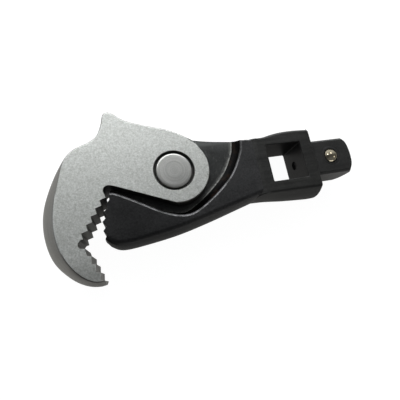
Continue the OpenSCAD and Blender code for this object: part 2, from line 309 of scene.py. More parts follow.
def sweep(name, stations, r, sides, mats):
    """Wire of radius r along stations (position, side vector), with rounded ends."""
    stations = [(Vector(p), Vector(u)) for p, u in stations]
    last = len(stations) - 1
    along = [(stations[min(i + 1, last)][0] - stations[max(i - 1, 0)][0]).normalized()
             for i in range(last + 1)]

    def cap(i, way, k):
        a = math.pi / 2 * k / 3.5
        return stations[i][0] + way * (along[i] * r * 0.6 * math.sin(a)), i, r * math.cos(a)

    rows = [cap(0, -1, k) for k in (3, 2, 1)]
    rows += [(p, i, r) for i, (p, _) in enumerate(stations)]
    rows += [cap(last, 1, k) for k in (1, 2, 3)]
    verts, faces, m = [], [], sides
    for p, i, radius in rows:
        u = stations[i][1]
        v = along[i].cross(u).normalized()
        verts += [p + radius * (math.cos(2 * math.pi * k / m) * u
                                + math.sin(2 * math.pi * k / m) * v) for k in range(m)]
    for j in range(len(rows) - 1):
        for i in range(m):
            n = (i + 1) % m
            faces.append([j * m + i, j * m + n, (j + 1) * m + n, (j + 1) * m + i])
    faces.append(list(range(m - 1, -1, -1)))
    faces.append([(len(rows) - 1) * m + i for i in range(m)])
    return mesh_object(name, verts, faces, mats)


def boolean(base, cutter, operation="DIFFERENCE"):
    mod = base.modifiers.new("cut", "BOOLEAN")
    mod.operation, mod.object, mod.solver = operation, cutter, "EXACT"
    mod.material_mode = "TRANSFER"
    graph = bpy.context.evaluated_depsgraph_get()
    graph.update()
    mesh = bpy.data.meshes.new_from_object(base.evaluated_get(graph),
                                           preserve_all_data_layers=True, depsgraph=graph)
    base.modifiers.clear()
    old, base.data = base.data, mesh
    bpy.data.meshes.remove(old)
    used = cutter.data
    bpy.data.objects.remove(cutter)
    bpy.data.meshes.remove(used)


def finish_piece(piece, clean=True):
    """Cleans the mesh, places it in the frame in metres, and shades it between sharp edges."""
    bm = bmesh.new()
    bm.from_mesh(piece.data)
    if clean:
        bmesh.ops.remove_doubles(bm, verts=bm.verts, dist=2e-4)
        bmesh.ops.dissolve_degenerate(bm, dist=2e-4, edges=bm.edges)
        loose = [v for v in bm.verts if not v.link_faces]
        bmesh.ops.delete(bm, geom=loose, context="VERTS")
    bmesh.ops.recalc_face_normals(bm, faces=bm.faces)
    bm.transform(Matrix.Translation(PIVOT * 0.001) @ Matrix.Scale(0.001, 4))
    for face in bm.faces:
        face.smooth = True
    for edge in bm.edges:
        edge.smooth = edge.calc_face_angle(0.0) < math.radians(SHARP_ANGLE)
    bm.to_mesh(piece.data)
    bm.free()
    mod = piece.modifiers.new("normals", "WEIGHTED_NORMAL")
    mod.keep_sharp, mod.mode, mod.weight = True, "FACE_AREA_WITH_ANGLE", 60
    return piece


# ------------------------------------------------------------------ materials
class Shader:
    """A Principled material built from small node helpers, in object coordinates (metres)."""

    def __init__(self, name):
        self.material = bpy.data.materials.new(name)
        self.material.use_nodes = True
        self.tree = self.material.node_tree
        self.tree.nodes.clear()
        output = self.node("OutputMaterial")
        self.principled = self.node("BsdfPrincipled")
        self.tree.links.new(self.principled.outputs[0], output.inputs[0])
        self.coords = self.node("TexCoord").outputs["Object"]

    def node(self, kind, **settings):
        node = self.tree.nodes.new("ShaderNode" + kind)
        for key, value in settings.items():
            setattr(node, key, value)
        return node

    def put(self, socket, value):
        """Links a socket, or sets a number or an RGB colour."""
        if hasattr(value, "is_output"):
            self.tree.links.new(value, socket)
        else:
            socket.default_value = (*value, 1.0) if hasattr(value, "__len__") else value

    def done(self, **inputs):
        for key, value in inputs.items():
            self.put(self.principled.inputs[key.replace("_", " ")], value)
        return self.material

    def math(self, operation, a, b=0.0, c=None, clamp=False):
        n = self.node("Math", operation=operation, use_clamp=clamp)
        self.put(n.inputs[0], a)
        self.put(n.inputs[1], b)
        if c is not None:
            self.put(n.inputs[2], c)
        return n.outputs[0]

    def mul(self, first, *factors):
        for factor in factors:
            first = self.math("MULTIPLY", first, factor)
        return first

    def weigh(self, *terms):
        """Sum of (value, weight) terms."""
        total = self.mul(*terms[-1])
        for value, weight in reversed(terms[:-1]):
            total = self.math("MULTIPLY_ADD", value, weight, total)
        return total

    def mapped(self, scale=(1, 1, 1), turn=(0, 0, 0), move=(0, 0, 0)):
        n = self.node("Mapping")
        self.put(n.inputs["Vector"], self.coords)
        n.inputs["Location"].default_value = move
        n.inputs["Rotation"].default_value = [math.radians(a) for a in turn]
        n.inputs["Scale"].default_value = scale
        return n.outputs[0]

    def noise(self, scale, detail, rough, coords=None):
        n = self.node("TexNoise")
        self.put(n.inputs["Vector"], coords or self.coords)
        n.inputs["Scale"].default_value = scale
        n.inputs["Detail"].default_value = detail
        n.inputs["Roughness"].default_value = rough
        return n.outputs["Fac"]

    def xyz(self, source=None):
        n = self.node("SeparateXYZ")
        self.put(n.inputs[0], source or self.coords)
        return n.outputs

    def normal(self):
        return self.node("NewGeometry").outputs["Normal"]

    def facing(self, axis):
        """Size of the normal's component along an axis."""
        return self.math("ABSOLUTE", self.xyz(self.normal())[axis])

    def ramp(self, value, span, to=(0.0, 1.0), kind="LINEAR"):
        n = self.node("MapRange", interpolation_type=kind)
        self.put(n.inputs["Value"], value)
        for key, limit in zip(("From Min", "From Max", "To Min", "To Max"), (*span, *to)):
            self.put(n.inputs[key], limit)
        return n.outputs[0]

    def ease(self, value, span, to=(0.0, 1.0)):
        return self.ramp(value, span, to, "SMOOTHSTEP")

    def paint(self, base, colour, amount, mode="MIX"):
        n = self.node("MixRGB", blend_type=mode)
        for socket, value in zip(n.inputs, (amount, base, colour)):
            self.put(socket, value)
        return n.outputs[0]

    def tones(self, value, span, dark, light):
        return self.paint(dark, light, amount=self.ramp(value, span))

    def shade(self, base, factor):
        return self.paint(base, factor, amount=1.0, mode="MULTIPLY")

    def bump(self, height, strength, distance, bevel=None):
        n = self.node("Bump")
        n.inputs["Strength"].default_value = strength
        n.inputs["Distance"].default_value = distance
        self.put(n.inputs["Height"], height)
        if bevel is not None:
            self.put(n.inputs["Normal"], self.soft(bevel, samples=4))
        return n.outputs[0]

    def soft(self, radius, samples):
        n = self.node("Bevel", samples=samples)
        n.inputs["Radius"].default_value = radius
        return n.outputs[0]

    def edge(self, radius):
        """Rises from 0 on a flat face towards 1 on an edge."""
        n = self.node("VectorMath", operation="DOT_PRODUCT")
        self.put(n.inputs[0], self.soft(radius, samples=6))
        self.put(n.inputs[1], self.normal())
        return self.math("SUBTRACT", 1.0, n.outputs["Value"], clamp=True)


def hook_face():
    s = Shader("satin_nickel")
    fine = s.noise(scale=2300, detail=3, rough=0.65)
    grain = s.noise(scale=900, detail=2, rough=0.6)
    cloud = s.noise(scale=120, detail=3, rough=0.5)
    speck = s.ease(s.noise(scale=620, detail=1, rough=0.4), span=(0.735, 0.79))
    tone = s.weigh((fine, 0.78), (grain, 0.22))
    c = s.tones(tone, span=(0.34, 0.66), dark=(0.43, 0.44, 0.415), light=(0.705, 0.717, 0.695))
    c = s.paint(c, colour=(0.55, 0.565, 0.535),
                amount=s.ramp(cloud, span=(0.35, 0.65), to=(0.0, 0.10)))
    c = s.paint(c, colour=(0.30, 0.31, 0.28), amount=s.mul(speck, 0.5))
    # painted shade: darker at the tip of the hook (-Y) and at the ear (+Y)
    y = s.xyz()[1]
    tip = s.ease(y, span=(-0.0265, -0.0185), to=(0.30, 0.0))
    ear = s.ease(y, span=(0.012, 0.021), to=(0.0, 0.09))
    c = s.paint(c, colour=(0.05, 0.05, 0.048), amount=s.math("ADD", tip, ear))
    return s.done(Base_Color=c, Metallic=0.9,
                  Roughness=s.ramp(tone, span=(0.3, 0.7), to=(0.40, 0.52)),
                  Normal=s.bump(tone, strength=0.42, distance=0.00006, bevel=0.00012))


def hook_side():
    """Crowned strip of the hook, linished along its length."""
    s = Shader("linished_nickel")
    line = s.noise(scale=420, detail=3, rough=0.6, coords=s.mapped(scale=(0.25, 0.25, 7.0)))
    fine = s.noise(scale=1900, detail=2, rough=0.6)
    tone = s.weigh((line, 0.65), (fine, 0.35))
    c = s.tones(tone, span=(0.33, 0.67), dark=(0.212, 0.206, 0.196), light=(0.292, 0.286, 0.271))
    x, y, _ = s.xyz()
    # painted shade: the strip darkens towards its upper end (+Y) and strongly towards +X
    c = s.shade(c, s.mul(s.ease(y, span=(-0.020, -0.008), to=(1.0, 0.92)),
                         s.ease(x, span=(-0.074, -0.066), to=(1.0, 0.56))))
    # painted shade: a dark line where the strip turns into the faces, near the tip, in place of the
    # edge's dark reflection
    c = s.paint(c, colour=(0.045, 0.040, 0.038),
                amount=s.mul(s.ease(y, span=(-0.0255, -0.0205), to=(1.0, 0.0)),
                             s.ease(s.facing(2), span=(0.35, 0.62)), 0.46))
    return s.done(Base_Color=c, Metallic=0.9,
                  Roughness=s.ramp(tone, span=(0.3, 0.7), to=(0.38, 0.50)),
                  Normal=s.bump(tone, strength=0.25, distance=0.00005, bevel=0.0002))


def hook_tooth():
    """Teeth in painted light and shade: darker on the upper teeth, paler towards the tip of the
    hook.
    """
    s = Shader("broached_tooth")
    line = s.noise(scale=600, detail=3, rough=0.6, coords=s.mapped(scale=(1, 1, 6.0)))
    c = s.tones(line, span=(0.3, 0.7), dark=(0.056, 0.058, 0.052), light=(0.128, 0.131, 0.119))
    # painted shade on the upper teeth (+Y), and painted light on the teeth towards the tip of the
    # hook
    c = s.shade(c, s.ease(s.xyz()[1], span=(-0.0125, -0.0050), to=(1.08, 0.30)))
    tip = s.ease(s.xyz()[1], span=(-0.0245, -0.0170), to=(1.0, 0.0))
    lit_tone = s.tones(line, span=(0.3, 0.7), dark=(0.19, 0.187, 0.18), light=(0.29, 0.286, 0.276))
    return s.done(Base_Color=s.paint(c, lit_tone, amount=tip), Metallic=0.85,
                  Roughness=s.ramp(line, span=(0.3, 0.7), to=(0.42, 0.6)),
                  Normal=s.bump(line, strength=0.3, distance=0.00005))


def hook_slot():
    s = Shader("machined_slot")
    n = s.noise(scale=700, detail=3, rough=0.6, coords=s.mapped(scale=(1, 1, 4.0)))
    c = s.tones(n, span=(0.3, 0.7), dark=(0.09, 0.09, 0.085), light=(0.20, 0.20, 0.19))
    return s.done(Base_Color=c, Metallic=0.8,
                  Roughness=s.ramp(n, span=(0.3, 0.7), to=(0.40, 0.55)),
                  Normal=s.bump(n, strength=0.25, distance=0.00004))


def oxide(name, dark, light, rough=(0.40, 0.52), streak=0.0, spec=0.42, wear=0.35,
          fade=None, chips=(), flank=1.0, facing_y=1.0):
    """Black oxide on forged steel, worn at its edges.

    fade = (x0, x1, factor) darkens the colour and the glint towards x0, a painted shade; chips are
    (x, y, z, radius); both in mm from the pivot. flank scales the glint on upright sides, facing_y
    on faces along Y.
    """
    s = Shader(name)
    pits = s.noise(scale=1700, detail=4, rough=0.68)
    cloud = s.noise(scale=140, detail=4, rough=0.55)
    tone = s.weigh((pits, 0.6), (cloud, 0.4))
    if streak:
        lines = s.noise(scale=900, detail=3, rough=0.6,
                        coords=s.mapped(scale=(0.05, 1.0, 1.0), turn=(0, 0, -2)))
        tone = s.weigh((lines, streak), (tone, 1 - streak))
    c = s.tones(tone, span=(0.38, 0.62), dark=dark, light=light)
    glint = s.ramp(tone, span=(0.36, 0.64), to=(spec * 0.86, spec * 1.14))
    if facing_y < 1.0:
        glint = s.mul(glint, s.ease(s.facing(1), span=(0.3, 0.7), to=(1.0, facing_y)))
    if flank < 1.0:
        glint = s.mul(glint, s.ease(s.facing(2), span=(0.25, 0.75), to=(flank, 1.0)))
    # painted shade: the colour and the glint darken towards x0
    if fade:
        fade_shade = s.ease(s.xyz()[0], span=[(x + PIVOT.x) * 0.001 for x in fade[:2]],
                      to=(fade[2], 1.0))
        c = s.shade(c, s.mul(fade_shade, 1.0))    # 1.0: the colour takes the full fade
        glint = s.mul(glint, fade_shade)
    edge = s.ease(s.edge(radius=0.00028), span=(0.03, 0.22))
    patch = s.ease(s.noise(scale=260, detail=4, rough=0.7), span=(0.42, 0.62))
    worn = s.math("MULTIPLY", s.mul(edge, patch), wear, clamp=True)
    for x, y, z, radius in chips:
        away = s.node("VectorMath", operation="DISTANCE")
        s.put(away.inputs[0], s.coords)
        away.inputs[1].default_value = [q * 0.001 for q in (x + PIVOT.x, y + PIVOT.y, z)]
        # the noise makes the chip's outline ragged by up to 0.5 mm
        ragged = s.math("MULTIPLY_ADD", s.noise(scale=1900, detail=2, rough=0.6), 0.0005,
                        away.outputs["Value"])
        chip = s.ramp(ragged, span=(radius * 0.0006, radius * 0.0012), to=(1, 0))
        worn = s.math("MAXIMUM", worn, chip)
    steel = s.paint((0.20, 0.20, 0.205), (0.46, 0.46, 0.44),
                    amount=s.math("GREATER_THAN", worn, 0.5))
    return s.done(Base_Color=s.paint(c, steel, amount=worn), Metallic=s.mul(worn, 0.8),
                  Specular_IOR_Level=glint, Roughness=s.ramp(tone, span=(0.34, 0.66), to=rough),
                  Normal=s.bump(tone, strength=0.78, distance=0.00005, bevel=0.00025))


def recess_rim():
    """Rounded rim of the recess, polished through in places."""
    s = Shader("oxide_rim")
    pits = s.noise(scale=1500, detail=3, rough=0.6)
    patch = s.ease(s.noise(scale=300, detail=5, rough=0.72), span=(0.40, 0.60))
    c = s.paint((0.010, 0.010, 0.0105), (0.125, 0.122, 0.128), amount=s.mul(patch, 0.6))
    return s.done(Base_Color=c, Metallic=s.mul(patch, 0.5),
                  Specular_IOR_Level=s.ramp(patch, span=(0.0, 1.0), to=(0.38, 0.66)),
                  Roughness=s.ramp(pits, span=(0.3, 0.7), to=(0.34, 0.46)),
                  Normal=s.bump(pits, strength=0.2, distance=0.00004))


def recess_floor():
    """Web and fillet: thin oxide, lighter towards the web's open edge as a painted highlight, a
    bright line at the foot of the fillet (rubbed steel, partly a painted highlight), and a fillet
    in painted shade.
    """
    s = Shader("oxide_recess")
    pits = s.noise(scale=1700, detail=4, rough=0.68)
    cloud = s.noise(scale=160, detail=4, rough=0.6)
    tone = s.weigh((pits, 0.55), (cloud, 0.45))
    _, y, z = s.xyz()
    z = s.math("ABSOLUTE", z)
    c = s.tones(tone, span=(0.38, 0.62), dark=(0.0060, 0.0066, 0.0064),
                light=(0.0215, 0.0228, 0.0225))
    # painted highlight: lighter towards the open edge of the web (+Y), most of all right at the
    # edge
    c = s.paint(c, colour=(0.052, 0.054, 0.052),
                amount=s.mul(s.ease(y, span=(0.0070, 0.0108)),
                             s.ramp(tone, span=(0.40, 0.58), to=(0.45, 1.0))))
    c = s.paint(c, colour=(0.098, 0.102, 0.099),
                amount=s.ease(y, span=(0.0097, 0.0108), to=(0.0, 0.8)))
    # scuffs on the flat web only
    web = s.ramp(z, span=(0.00281, 0.00284), to=(1.0, 0.0))
    scuff = s.ease(s.noise(scale=700, detail=4, rough=0.75,
                           coords=s.mapped(scale=(1, 0.45, 1), turn=(0, 0, 35))),
                   span=(0.52, 0.66))
    c = s.paint(c, colour=(0.060, 0.061, 0.057), amount=s.mul(web, scuff, 0.5))
    # a bright line at the foot of the fillet: steel rubbed bare in patches, partly a painted
    # highlight on the edge where web and fillet meet
    foot = s.mul(s.ramp(z, span=(0.002801, 0.002806)),
                 s.ramp(z, span=(0.00284, 0.00292), to=(0.22, 1.0)),
                 s.ramp(z, span=(0.00295, 0.00301), to=(1.0, 0.0)))
    rub = s.ease(s.noise(scale=420, detail=5, rough=0.8), span=(0.37, 0.54), to=(0.08, 1.0))
    bare_and_highlight = s.mul(foot, rub, 0.9)
    # painted shade: the fillet above its foot is near black, with rust-brown patches
    fillet_shade = s.ease(z, span=(0.00297, 0.00306))
    rust = s.ease(s.noise(scale=240, detail=3, rough=0.6), span=(0.50, 0.64))
    fillet = s.paint((0.0022, 0.0022, 0.0023), (0.0115, 0.0075, 0.0052), amount=rust)
    c = s.paint(c, fillet, amount=fillet_shade)
    c = s.paint(c, colour=(0.205, 0.205, 0.192), amount=bare_and_highlight)
    return s.done(Base_Color=c, Metallic=s.mul(bare_and_highlight, 0.7),
                  Specular_IOR_Level=s.ramp(fillet_shade, span=(0.0, 1.0), to=(0.40, 0.03)),
                  Roughness=s.ramp(tone, span=(0.34, 0.66), to=(0.38, 0.50)),
                  Normal=s.bump(tone, strength=0.85, distance=0.00005, bevel=0.00012))


def pin_steel():
    """Rivet head, faced on a lathe: fine rings about the pivot."""
    s = Shader("faced_steel")
    x, y, _ = s.xyz(s.mapped(move=(-PIVOT.x * 0.001, -PIVOT.y * 0.001, 0.0)))
    radius = s.math("SQRT", s.math("ADD", s.mul(x, x), s.mul(y, y)))
    # the noise runs fast with the radius and slowly round the pivot
    turned = s.node("CombineXYZ")
    for socket, value, stretch in zip(turned.inputs, (radius, x, y), (1.0, 0.03, 0.03)):
        s.put(socket, s.mul(value, stretch))
    rings = s.noise(scale=3600, detail=3, rough=0.6, coords=turned.outputs[0])
    wide = s.noise(scale=900, detail=2, rough=0.5, coords=turned.outputs[0])
    fine = s.noise(scale=2600, detail=2, rough=0.6)
    tone = s.weigh((rings, 0.45), (wide, 0.35), (fine, 0.2))
    c = s.tones(tone, span=(0.34, 0.66), dark=(0.360, 0.362, 0.346), light=(0.575, 0.575, 0.556))
    tangent = s.node("Tangent", direction_type="RADIAL", axis="Z")
    return s.done(Base_Color=c, Metallic=0.95,
                  Roughness=s.ramp(tone, span=(0.3, 0.7), to=(0.34, 0.46)),
                  Anisotropic=0.12, Tangent=tangent.outputs[0],
                  Normal=s.bump(tone, strength=0.22, distance=0.00004, bevel=0.0001))


def plain_steel(name, dark, light, rough):
    s = Shader(name)
    n = s.noise(scale=1800, detail=3, rough=0.6)
    return s.done(Base_Color=s.tones(n, span=(0.3, 0.7), dark=dark, light=light), Metallic=0.95,
                  Roughness=s.ramp(n, span=(0.3, 0.7), to=(rough, rough + 0.12)),
                  Normal=s.bump(n, strength=0.2, distance=0.00002))


def ball_steel():
    s = Shader("polished_ball")
    n = s.noise(scale=500, detail=3, rough=0.5)
    c = s.tones(n, span=(0.35, 0.65), dark=(0.38, 0.335, 0.235), light=(0.54, 0.485, 0.375))
    fine = s.noise(scale=900, detail=2, rough=0.6)
    return s.done(Base_Color=c, Metallic=1.0,
                  Roughness=s.ramp(fine, span=(0.3, 0.7), to=(0.07, 0.13)),
                  Normal=s.bump(n, strength=0.05, distance=0.00002))


NECK_CHIP = (27.2, 7.75, 5.6, 0.8)
M_FACE, M_SIDE, M_TOOTH, M_SLOT = hook_face(), hook_side(), hook_tooth(), hook_slot()
# the neck's oxide darkens towards the jaw end, a painted shade
M_NECK = oxide("oxide_neck", dark=(0.0066, 0.0066, 0.0071), light=(0.0190, 0.0190, 0.0200),
               spec=0.44, fade=(-12, 20, 0.62), flank=0.45, chips=[NECK_CHIP])
M_BLOCK = oxide("oxide_block", dark=(0.0085, 0.0085, 0.0079), light=(0.0200, 0.0200, 0.0186),
                rough=(0.44, 0.56), streak=0.45, spec=0.30, flank=0.85,
                chips=[NECK_CHIP, (42.2, 9.95, 2.7, 0.4), (40.9, 9.8, 2.9, 0.3)])
M_DRIVE = oxide("oxide_drive", dark=(0.0080, 0.0080, 0.0076), light=(0.0180, 0.0180, 0.0170),
                rough=(0.42, 0.54), streak=0.3, spec=0.36)
M_RIM, M_RECESS = recess_rim(), recess_floor()
M_SOCKET = oxide("oxide_socket", dark=(0.0085, 0.0085, 0.0083), light=(0.0175, 0.0175, 0.0170),
                 rough=(0.32, 0.44), spec=0.38, wear=0.1, facing_y=0.12)
M_JAW_TEETH = oxide("oxide_teeth", dark=(0.006, 0.006, 0.006), light=(0.013, 0.013, 0.013),
                    rough=(0.40, 0.52), spec=0.4, wear=0.5)
M_PIN = pin_steel()
M_SHANK = plain_steel("ground_shank", dark=(0.30, 0.30, 0.29), light=(0.42, 0.42, 0.41), rough=0.30)
M_WASHER = plain_steel("washer_steel", dark=(0.34, 0.34, 0.33), light=(0.47, 0.47, 0.46),
                       rough=0.34)
M_SPRING = plain_steel("spring_wire", dark=(0.20, 0.20, 0.21), light=(0.34, 0.34, 0.35), rough=0.28)
M_BALL = ball_steel()

# ------------------------------------------------ outlines: (x, y, crown of the side)
JAW_BOTTOM = [
    (-23.0, -17.9, 0.3), (-21.3, -19.1, 0.8), (-18.2, -19.95, 1.2), (-11.3, -19.35, 1.4),
    (-1.3, -17.95, 1.5), (8.7, -15.75, 1.5), (18.7, -13.35, 1.3), (28.0, -11.1, 1.0),
    (33, -9.6, 0.5)]
NECK_TOP = [
    (33, 6.4, 0.5), (27.5, 7.55, 0.8), (24.6, 7.8, 0.8), (20.3, 8.35, 0.8), (14.9, 9.25, 0.5),
    (11.3, 10.1, 0.2)]
JAW_END = [
    (-16, -4.2, 0), (-19.2, -2.8, 0), (-20.6, -2.7, 0), (-24, -3.2, 0), (-25.4, -9, 0),
    (-25.6, -15, 0)]
BODY_LOOP = (curve(JAW_BOTTOM, 8) + curve(NECK_TOP, 8)
             + arc((0, 0), WEB_R, start=51, end=203, steps=60) + JAW_END)
# wall of the recess: (x, y, share of the neck's radii)
RECESS = [
    (-24.6, -4.4, 0), (-20.2, -4.15, 0), (-18.3, -4.65, 0), (-13.15, -7.55, 0),
    (-5.2, -12.3, .1), (.75, -14.15, .3), (5.55, -13.2, .6), (12.45, -8.9, .85),
    (18.5, -3.5, 1), (22.45, 2.75, 1), (24.0, 7.45, 1), (24.5, 12, 1)]
BLOCK_BOTTOM = [
    (27.9, -11.75, 0.9), (32, -11.8, 1.35), (38, -11.85, 2.1), (46, -11.85, 2.7),
    (48.9, -11.85, 2.7)]
BLOCK_TOP = [
    (48.9, 8.48, 1.9), (48.5, 8.5, 1.9), (44, 8.68, 1.9), (40, 8.6, 1.8), (36.8, 8.3, 1.6),
    (34.1, 7.85, 1.4), (31.7, 7.52, 1.2), (27.9, 7.5, 0.8)]
HOOK_TOP = [
    (8.7, 7.9, .6), (4.75, 11.2, .9), (-.6, 14.0, 1.2), (-7.3, 16.1, 1.3), (-13.0, 18.4, 1.3),
    (-16.4, 21.1, 1.1), (-17.8, 21.6, .9), (-19.1, 20.8, .7), (-19.95, 17.9, .7),
    (-21.7, 14.1, .9), (-24.6, 12.1, .9), (-29.0, 10.3, 1.0), (-32.1, 7.1, 1.5),
    (-34.0, 1.9, 2.9), (-36.0, -6, 4.0), (-36.6, -12.9, 4.0), (-35.5, -19.6, 3.6),
    (-32.9, -24.7, 2.6), (-29.8, -27.9, 1.8), (-26.9, -29.3, 1.2), (-24.6, -29.2, 1.1)]
HOOK_LOOP = (arc((.6, .3), 10.8, start=-100, end=32, steps=44, crown=.6) + curve(HOOK_TOP, 8)
             + [(-22.5, -28.6, .5), (-18, -25, 0), (-8, -18, 0)])


def mouth():
    """Outline cut from the hook: a straight edge, six upper teeth, a throat, six lower teeth."""
    edge_lo, edge_hi = (-1.28, -10.34), (-18.75, -2.65)
    upper_step = (-0.57 * TOOTH_PITCH, -0.8222 * TOOTH_PITCH)
    lower_step = (0.9, -2.45)

    def stepped(x, y, i, step):
        return x + i * step[0], y + i * step[1]

    loop = [tuple(a + (a - b) * 0.8 for a, b in zip(edge_lo, edge_hi)), edge_lo]
    loop += curve([edge_hi, (-20.35, -2.2), (-21.6, -2.6), (-22.05, -3.6)], 8)
    for i in range(6):
        loop.append(stepped(-21.45, -5.85, i, upper_step))
        if i < 5:
            loop.append(stepped(-23.25, -6.35, i, upper_step))
    loop += curve([(-30.05, -17.15), (-30.65, -17.95), (-30.5, -18.95), (-29.7, -19.5)], 6)
    loop.append((-29.05, -19.45))
    for i in range(6):
        loop += [stepped(-28.6, -21.5, i, lower_step), stepped(-27.5, -21.85, i, lower_step)]
    return loop + [(-20, -36), (30, -36), (30, -24)]


def jaw_teeth():
    """Outline cut from the body's -X end: tips and notches about an arc."""
    centre, radius, step = (1.35, -16.92), 24.96, 6.18
    tip_angle, notch_angle = 151.6, 154.5
    tip_rise = (0, 0, 0.40, 0.25, 0, 0)
    notch_depth = (0.52, 0.60, 0.85, 0.95, 0.95)    # the upper notches are worn shallow
    loop = [(-19.9, -1.5), (-20.25, -2.9)]
    for i in range(6):
        loop.append(polar(radius + tip_rise[i], tip_angle + i * step, centre))
        if i < 5:
            loop.append(polar(radius - notch_depth[i], notch_angle + i * step, centre))
    return loop + [(-24.2, -18.9), (-40, -22), (-40, -1.5)]


# ----------------------------------------------------------------- the body
def recess_cutter(sign):
    """Pocket that leaves the web: concave fillet at its foot, rounded rim at its top."""
    wall = curve(RECESS, 10)
    last = len(wall) - 1
    outs = [outward(wall[max(i - 1, 0)], wall[min(i + 1, last)]) for i in range(last + 1)]
    # (kind, angle in radians), and above the plate (kind, height over the face)
    steps = ([("fillet", math.radians(90 - 90 * k / 9)) for k in range(10)]
             + [("rim", math.radians(82 * k / 8)) for k in range(9)]
             + [("open", 0.05), ("open", 2.0)])
    rings = []
    for kind, a in steps:
        ring = []
        for p, n in zip(wall, outs):
            share = clamp01(p[2])
            fillet = FILLET_JAW + (FILLET_NECK - FILLET_JAW) * share
            rim = RIM_JAW + (RIM_NECK - RIM_JAW) * share
            top = NECK_H - rim
            if kind == "fillet":
                inset = fillet * (1 - math.cos(a))
                z = WEB_H + min(fillet, top - WEB_H - 0.05) * (1 - math.sin(a))
            elif kind == "rim":
                inset, z = -rim * (1 - math.cos(a)), top + rim * math.sin(a)
            else:
                inset, z = -rim * 0.93, NECK_H + a
            ring.append((p[0] - inset * n[0], p[1] - inset * n[1], z))
        # the corners outside the body follow one height per ring
        z = {"fillet": WEB_H + 1.5 * (1 - math.sin(a)),
             "rim": NECK_H - 1 + math.sin(a)}.get(kind, NECK_H + a)
        rings.append(ring + [(26, 16, z), (10, 26, z), (-26, 26, z)])
    bands = [0 if kind == "fillet" else 1 for kind, _ in steps[:-1]]
    if sign < 0:
        rings = [[(x, y, -z) for x, y, z in ring] for ring in reversed(rings)]
        bands.reverse()
    return loft("recess", [turned_ccw(ring) for ring in rings], [M_RECESS, M_RIM], bands)


def neck_rounding(x, y):
    """The rounding runs out where the neck ends inside the block, and is less at the top."""
    return clamp01((32 - x) / 3) * (1.0 - 0.55 * clamp01(y / 5))


def block_outline(corner_x):
    r = BLOCK_END - corner_x
    low, high = -11.85, 8.48
    low_crown, high_crown = 2.7, 1.9
    angles = [math.radians(t) for t in range(15, 91, 15)]
    end = [(corner_x + r * math.sin(t), low + r * (1 - math.cos(t)), low_crown) for t in angles]
    end += [(BLOCK_END, y, low_crown + (high_crown - low_crown) * (y + 11.1) / 18.8)
            for y in (-8, -5, -2, 1, 4, 6)]
    end += arc((corner_x, high - r), r, start=0, end=75, steps=5, crown=high_crown)
    return ([(27.6, -11.7, 0)] + curve(BLOCK_BOTTOM, 8) + end + curve(BLOCK_TOP, 7)
            + [(27.6, 7.45, 0)])


def make_block():
    """Socket block: crowned sides, a flat +X end, and a -X end hollowed with a lip."""
    corner_x = BLOCK_END - 0.75
    hollow_depth, lip_reach, lip_z = 3.5, 1.5, 5.2
    loop = turned_ccw(block_outline(corner_x))
    outs = normals(loop)
    rings = []
    for z, inset in edge_levels(BLOCK_H, EDGE_BLOCK, 14, 5):
        s = z / BLOCK_H
        lip = max(0.0, (abs(z) - lip_z) / (BLOCK_H - lip_z))
        ring = []
        for p, n in zip(loop, outs):
            crown = p[2] * (1 - s * s)
            rounding = inset * clamp01((p[0] - 27.9) / 2.5)
            x = p[0] - rounding * n[0]
            y = (p[1] + crown * (1 if n[1] > 0 else -1) * min(1.0, abs(n[1]) * 3)
                 - rounding * n[1])
            if p[0] < 48:
                x += crown * n[0]
            if p[0] > corner_x:
                x = min(x, BLOCK_END - inset)
            f = clamp01((31 - p[0]) / 3.4)
            f = f * f * (3 - 2 * f)
            x = x - hollow_depth * (1 - s * s) * f + lip_reach * lip * lip * f
            ring.append((x, y, z))
        rings.append(ring)
    return loft("block", rings, [M_BLOCK])


def make_drive():
    """Square bar with broken edges, turned down at its corners and nose."""
    c, w = 0.3, FLAT_Z
    square = [(w, -w + c), (w, w - c), (w - c, w), (-w + c, w), (-w, w - c), (-w, -w + c),
              (-w + c, -w), (w - c, -w)]
    bar = loft("bar", [[(x, y + DRIVE_Y, z) for y, z in square] for x in (45.0, DRIVE_END + 1)],
               [M_DRIVE])
    # (in from the turned radius, back from the drive's end)
    nose = [(0, 1.98), (0.03, 1.78), (0.14, 1.5), (0.38, 1.14), (0.8, 0.75), (1.35, 0.42),
            (2.05, 0.17), (2.9, 0.03)]
    profile = ([(0, 44), (DRIVE_R, 44)]
               + [(DRIVE_R - inset, DRIVE_END - back) for inset, back in nose]
               + [(2.0, DRIVE_END), (0, DRIVE_END)])
    turned = lathe("turned", profile, 192, [M_DRIVE], (0, DRIVE_Y, 0), along_x=True)
    boolean(bar, turned, "INTERSECT")
    return bar


def cut_spring_pocket(body):
    """Ring for the coils and a radial slot for the fixed leg."""
    section = [(COIL_R - COIL_WIRE, POCKET_Z), (COIL_R + 1.0, POCKET_Z),
               (COIL_R + 1.0, 8.2), (COIL_R - COIL_WIRE, 8.2)]
    boolean(body, torus("pocket", section, 96, [M_RECESS]))
    slot = box("slot", (COIL_R - 0.65, -7.4, POCKET_Z), (COIL_R + 0.65, 0, 6.2), [M_RECESS])
    slot.data.transform(Matrix.Rotation(math.radians(COIL_START), 4, "Z"))
    boolean(body, slot)


def cut_socket(body):
    """Square through socket with a dimple in its +X wall."""
    half, r = SOCKET_W / 2, 0.35
    square = [p[:2] for sx, sy, start in ((1, -1, -90), (1, 1, 0), (-1, 1, 90), (-1, -1, 180))
              for p in arc((SOCKET_X + sx * (half - r), DRIVE_Y + sy * (half - r)), r,
                           start=start, end=start + 90, steps=3)]
    boolean(body, flared_prism("socket", square, h=10.0, flare=0.28, face=BLOCK_H,
                               mats=[M_SOCKET, M_BLOCK]))
    at = (SOCKET_X + half - 1.1, DRIVE_Y, -0.6)
    boolean(body, globe("dimple", 1.9, at, [M_SOCKET], 48, 24))


